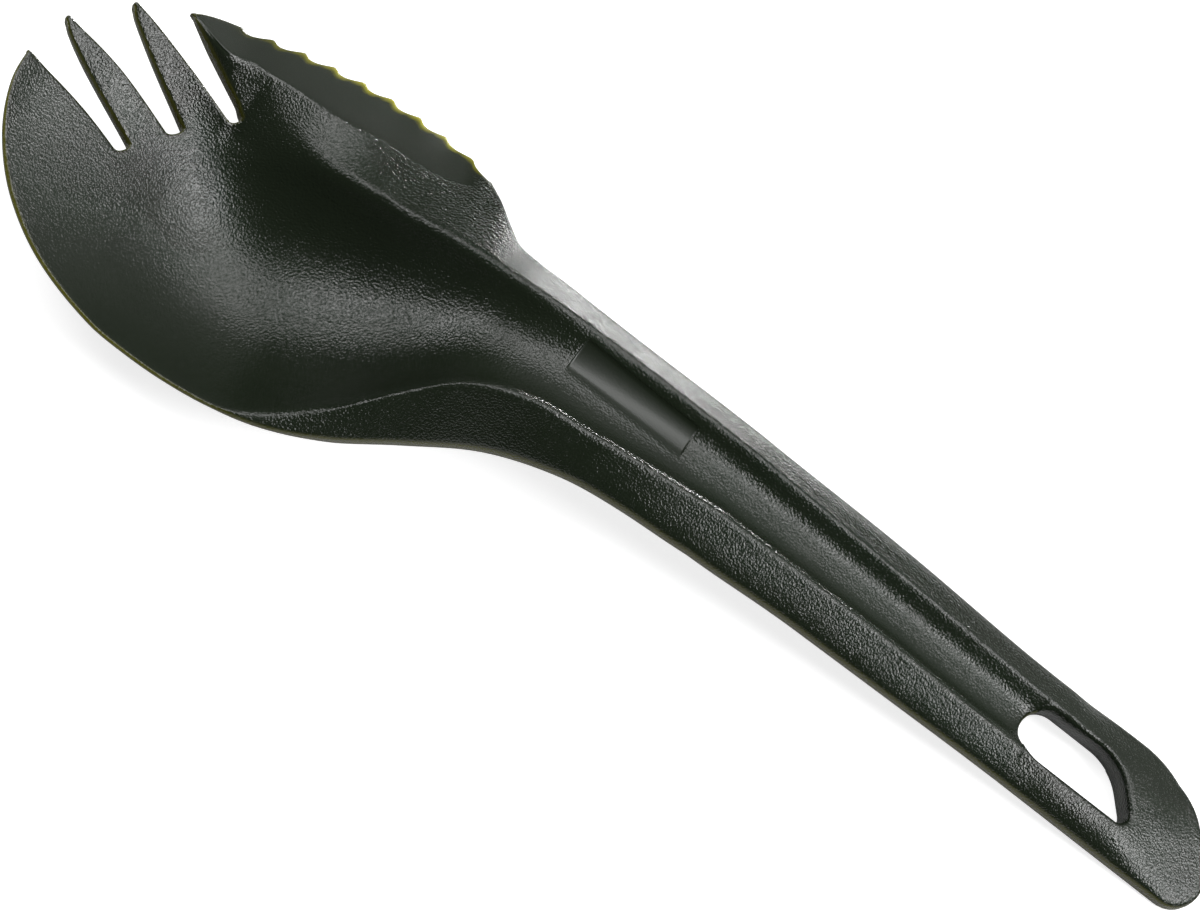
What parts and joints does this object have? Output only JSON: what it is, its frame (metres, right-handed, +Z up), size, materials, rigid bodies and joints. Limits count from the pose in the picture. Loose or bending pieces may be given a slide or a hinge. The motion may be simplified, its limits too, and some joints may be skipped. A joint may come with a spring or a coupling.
{
  "type": "camping spork",
  "caption": "Moulded camping spork: a spoon bowl with slanted fork tines, a serrated cutting edge along one side and a channelled handle with a slant-ended hanging hole.",
  "frame": {"origin": "on the table, at the middle of the spork's length and width", "axes": "+X along the spork towards the handle's end, +Y towards the blade side, +Z up"},
  "size_m": [0.1721, 0.0487, 0.0186],
  "materials": {
    "moulded_plastic": "satin, finely textured"
  },
  "bodies": {
    "root": {"bowl": "moulded_plastic", "spoon_side_tine": "moulded_plastic", "second_tine": "moulded_plastic", "third_tine": "moulded_plastic", "blade_side_tine": "moulded_plastic", "blade_flange": "moulded_plastic", "serrated_blade": "moulded_plastic", "neck_channel": "moulded_plastic", "label_panel": "moulded_plastic", "handle_channel": "moulded_plastic", "spoon_side_shoulder": "moulded_plastic", "spoon_side_rail": "moulded_plastic", "blade_side_rail": "moulded_plastic", "hanging_loop": "moulded_plastic"}
  },
  "joints": []
}
